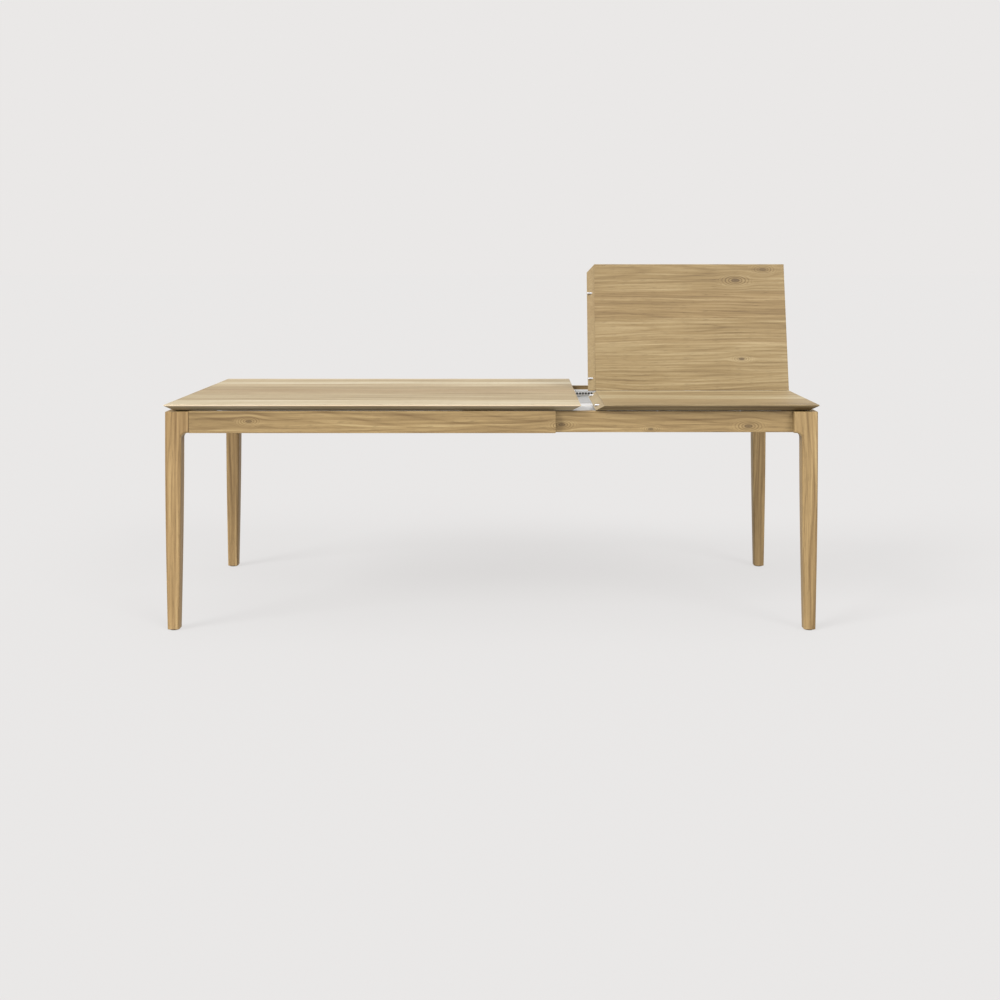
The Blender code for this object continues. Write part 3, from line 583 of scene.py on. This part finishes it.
def block_rings(low, high, ease):
    """A flat bar with eased corners, as rings along x: a rounded rectangle near each end, and beyond it one
    that is smaller by the ease. A corner's point is its centre + the ease * (cos t, sin t)."""
    turn = np.arange(16) * pi / 8 + pi / 16
    half = (np.array(high) - low) / 2
    centre = (np.array(high) + low) / 2
    shrink = np.array([ease, 0, 0, ease])[:, None] / 2
    place = np.array([low[0], low[0] + ease, high[0] - ease, high[0]])
    rings = np.empty((4, turn.size, 3))
    rings[..., 0] = place[:, None]
    for axis, wave in ((1, np.cos(turn)), (2, np.sin(turn))):
        corner = centre[axis] + np.sign(wave) * (half[axis] - ease - shrink)
        rings[..., axis] = corner + (ease - shrink) * wave
    return rings


# The strip is bright zinc plated steel, and its near white tone, paler than the zinc elsewhere, is also
# painted light against the shade inside the slide. It has a faint cloud of about 3 mm.
CAGE_STEEL_PAINTED_LIGHT = plain_material(
    "bright_zinc_with_painted_light", "#F1F1EF", 0.5, metallic=0.85, mottle=300.0, ease=0.03
)
for side, word in ((-1, "front"), (1, "rear")):
    body = f"slide_middle_{word}"
    skin(f"ball_cage_{word}", cage_rings(side), body, CAGE_STEEL_PAINTED_LIGHT, capped=False)
    # Painted shade: the black strip just behind the cage, for the shadow inside the slide.
    depths = sorted(side * (CAGE_OUT + gap) for gap in SHADE_STRIP_GAPS)
    low = CAGE_X[0] - CAGE_PITCH / 2 + SHADE_STRIP_SHORT, depths[0], CAGE_LOW + SHADE_STRIP_LOW
    high = CAGE_X[-1] + CAGE_PITCH / 2 - SHADE_STRIP_SHORT, depths[1], CAGE_HIGH - SHADE_STRIP_LOW
    skin(f"ball_cage_shade_strip_{word}", block_rings(low, high, SHADE_STRIP_EASE), body, BLACK_PLASTIC)


# Stiffeners: flat anodised aluminium bars with eased corners, screwed inside the inner aprons, where the
# open bay leaves the frame without rails.
STIFFENER_X = (-0.030, 0.420)
STIFFENER_Y = (0.4275, 0.4298)
STIFFENER_Z = (0.6660, 0.6890)
STIFFENER_EASE = 0.0006
for side, word in ((-1, "front"), (1, "rear")):
    low, high = zip(STIFFENER_X, sorted(side * y for y in STIFFENER_Y), STIFFENER_Z)
    rings = block_rings(low, high, STIFFENER_EASE)
    skin(f"apron_stiffener_{word}", rings, "extension_frame", ALUMINIUM)


# Screws: zinc plated pan head wood screws with a hexagon socket, in rows where the fittings are fixed to
# the wood. All heads have one shape, and the first three sizes are their radii.
STIFFENER_SCREW = 0.0038
BLOCK_SCREW = 0.0042
SLIDE_SCREW = 0.0040
BLOCK_SCREW_INSET = 0.010
BLOCK_SCREW_SHIFT = 0.0005
SLIDE_SCREW_INSET = 0.030
SLIDE_SCREW_SHIFT = 0.002
SLIDE_WEB = 0.0025
LAST_SLIDE_SCREW = -0.200


def screw_rings(places, direction, radius, segments=24):
    """Domed heads with a hexagon socket: outside, the rim falls away as a quarter of an ellipse; inside,
    the socket wall stands at (radius / 2) * cos 30 / cos((t mod 60) - 30) and runs straight down."""
    direction, angle, circle = circle_about(direction, segments)
    socket = 0.5 * cos(pi / 6) / np.cos(angle % (pi / 3) - pi / 6)
    whole = np.ones(segments)
    share = [whole, whole, 0.93 * whole, 0.75 * whole, 1.12 * socket, socket, socket, 0.05 * whole]
    rise = np.array([-0.3, 0.12, 0.35, 0.52, 0.6, 0.56, 0.2, 0.2])
    rings = np.stack(share)[..., None] * circle * radius + rise[:, None, None] * direction * radius
    return rings + np.array([tuple(place) for place in places])[:, None, None]


def screws(name, body, places, direction, radius):
    """One piece with a screw head at each place."""
    return skin(name, screw_rings(places, direction, radius), body, ZINC)


for side, word in ((-1, "front"), (1, "rear")):
    spots = [(x, side * STIFFENER_Y[0], sum(STIFFENER_Z) / 2) for x in np.linspace(0.0, 0.39, 5)]
    screws(f"stiffener_screws_{word}", "extension_frame", spots, (0, -side, 0), STIFFENER_SCREW)
for side, inward in (("front", 1), ("rear", -1)):
    for place in ("middle", "end"):
        low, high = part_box(f"slide_block_{side}_{place}")
        across = (low.y + high.y) / 2 + inward * BLOCK_SCREW_SHIFT
        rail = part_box(f"cross_rail_{place}")[0].z
        spots = [(x, across, rail) for x in (low.x + BLOCK_SCREW_INSET, high.x - BLOCK_SCREW_INSET)]
        screws(f"block_screws_{side}_{place}", "extension_frame", spots, (0, 0, -1), BLOCK_SCREW)
for side, inward in (("front", 1), ("rear", -1)):
    low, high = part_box(f"slide_outer_{side}")
    across = (low.y + high.y) / 2 - inward * SLIDE_SCREW_SHIFT
    row = np.linspace(low.x + SLIDE_SCREW_INSET, LAST_SLIDE_SCREW, 6)
    spots = [(x, across, high.z - SLIDE_WEB) for x in row]
    screws(f"slide_screws_{side}", "main_frame", spots, (0, 0, -1), SLIDE_SCREW)


# Leaf: two boards of the same oak, hinged to each other like the covers of a book. The front half lies on
# the sliding frame, on nylon pads and two steel dowels. The rear half stands up, leaning back a little.
# Their left edges are cut to slope the other way, so that they slip under the main top's undercut edge.
STANDING = radians(78.5)
HINGE_HEIGHT = 0.7603
HINGE_LINE = (middle_of("hinge_link_2").x, 0.0, HINGE_HEIGHT)
LEAF_STAVE = 0.12
REAR_STAVE = 0.105
LEAF_TONES = ("#978C71", "#7C6C4E", "#5A4A31", "#4E4029")
# Painted shade: the standing rear half is the same oak as the front half, with darker tones to darken it
# where it faces the lights.
REAR_TONES_PAINTED_SHADE = ("#8F8060", "#756342", "#55442A", "#4A3A22")
LEAF_OAK = oiled_oak(
    "oiled_oak_leaf_front", LEAF_TONES, origin=(0, 0, TOP_HEIGHT), stave=LEAF_STAVE, seed=8.0
)
REAR_OAK = oiled_oak(
    "oiled_oak_leaf_rear_painted_shade", REAR_TONES_PAINTED_SHADE, turn=(-STANDING, 0, 0), origin=HINGE_LINE, stave=REAR_STAVE,
    seed=11.0, spread=0.15, knots=((0.1745, 0.417, 0.017), (0.2795, 0.4595, 0.014), (0.1885, 0.118, 0.012)),
)
eased("leaf_front", "leaf_front_board", "extension_frame", LEAF_OAK, 0.0008)
eased("leaf_rear", "leaf_rear_board", "leaf_rear_half", REAR_OAK, 0.0008)


# Hinges: three of zinc plated steel. Each has two plates let into the edges of the leaf's halves and fixed
# there, and a half ring that swings between them.
for number in (1, 2, 3):
    for side, body in (("front", "extension_frame"), ("rear", "leaf_rear_half")):
        node = f"hinge_plate_{side}_{number}"
        eased(node, node + "_steel", body, ZINC, 0.0003, least=0.004, turns=1)
    node = f"hinge_link_{number}"
    eased(node, node + "_steel", "hinge_links", ZINC, 0.0005, least=0.006, turns=1)


# Alignment pins: turned steel pins with a rounded nose, pressed into the leaf's sloping left edge. Four
# moulded nylon bushes in the main top receive them. The leaf's nylon pads and steel dowels come here too.
PIN_RADIUS = 0.004
PIN_NOSE = [(PIN_RADIUS, -0.003), (0.0034, -0.0012), (0.0024, -0.0003), (0.001, 0)]


def finished(node, material):
    """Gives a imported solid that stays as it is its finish."""
    NODES[node].data.materials.clear()
    NODES[node].data.materials.append(material)


# The nylon gives a warm white with a soft sheen; its grain is 1 mm.
NYLON = plain_material("moulded_white_nylon", "#E4E2DA", 0.42, ease=0.02)
for side, body in (("front", "extension_frame"), ("rear", "leaf_rear_half")):
    for place in ("inner", "outer"):
        node = f"alignment_pin_{side}_{place}"
        low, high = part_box(node)
        middle = middle_of(node)
        length = high.x - low.x
        profile = [(0.0036, 0), (PIN_RADIUS, 0.0004)]
        profile += [(radius, length + back) for radius, back in PIN_NOSE]
        rings = turned(profile, [(high.x, middle.y, middle.z)], (-1, 0, 0))
        skin(node + "_steel", rings, body, ZINC, replaced=[node])
        finished(f"socket_bush_{side}_{place}", NYLON)
for node in ("leaf_pad_front", "leaf_pad_rear", "leaf_pad_end"):
    finished(node, NYLON)
for node in ("leaf_dowel_left", "leaf_dowel_right"):
    finished(node, ZINC)


# Studio: a roll of pale paper for the floor, a backdrop of the same tone, and four soft lights: left, right,
# above, and a weak one in front. The paper glows by itself, so that it meets the backdrop unseen.
PAPER_TONE = "#EAE8E7"
PAPER_GLOW = 0.793
PAPER_GREY = 0.070
floor_mesh = bpy.data.meshes.new("studio_floor")
floor_mesh.from_pydata([(-60, -20, 0), (60, -20, 0), (60, 120, 0), (-60, 120, 0)], [], [(0, 1, 2, 3)])
floor = bpy.data.objects.new("studio_floor", floor_mesh)
bpy.context.scene.collection.objects.link(floor)
paper, tree, shader, point = new_material("pale_studio_paper")
fibres = add_node(tree, "TexNoise", {"Vector": point, "Scale": 600.0, "Detail": 2.0})
relief = add_node(tree, "Bump", {"Strength": 0.02, "Distance": 0.0002, "Height": fibres})
tree.links.new(relief, shader.inputs["Normal"])
shader.inputs["Base Color"].default_value = (PAPER_GREY, PAPER_GREY, PAPER_GREY, 1)
shader.inputs["Roughness"].default_value = 1.0
shader.inputs["Specular IOR Level"].default_value = 0.0
shader.inputs["Emission Color"].default_value = linear(PAPER_TONE)
shader.inputs["Emission Strength"].default_value = PAPER_GLOW
floor_mesh.materials.append(paper)
world = bpy.data.worlds.new("pale_studio")
bpy.context.scene.world = world
world.use_nodes = True
world.node_tree.nodes["Background"].inputs["Color"].default_value = linear(PAPER_TONE)
world.node_tree.nodes["Background"].inputs["Strength"].default_value = 1.0

LIGHTS = {
    "softbox_left": ((0.62, 0.50, -0.60), 3.9, 24),
    "softbox_right": ((-0.45, 0.62, -0.52), 2.2, 24),
    "softbox_above": ((0.05, 0.15, -1.0), 1.3, 50),
    "softbox_front": ((-0.10, 1.0, 0.02), 0.5, 40),
}
for name, (travel, strength, width) in LIGHTS.items():
    lamp = bpy.data.lights.new(name, "SUN")
    lamp.energy = strength
    lamp.angle = radians(width)
    softbox = bpy.data.objects.new(name, lamp)
    softbox.rotation_euler = Vector(travel).to_track_quat("-Z", "Y").to_euler()
    bpy.context.scene.collection.objects.link(softbox)


# Camera: level, in front of the table and a little right of its middle, with its view shifted down to the
# table, so that upright edges stay upright.
CAMERA_PLACE = (0.0856, -4.755, 1.239)
camera_data = bpy.data.cameras.new("camera")
camera_data.sensor_width = 36
camera_data.lens = 45.9
camera_data.shift_x = -0.017
camera_data.shift_y = -0.238
camera = bpy.data.objects.new("camera", camera_data)
camera.location = CAMERA_PLACE
camera.rotation_euler = (pi / 2, 0, 0)
bpy.context.scene.collection.objects.link(camera)
bpy.context.scene.camera = camera
bpy.context.scene.view_settings.view_transform = "Standard"
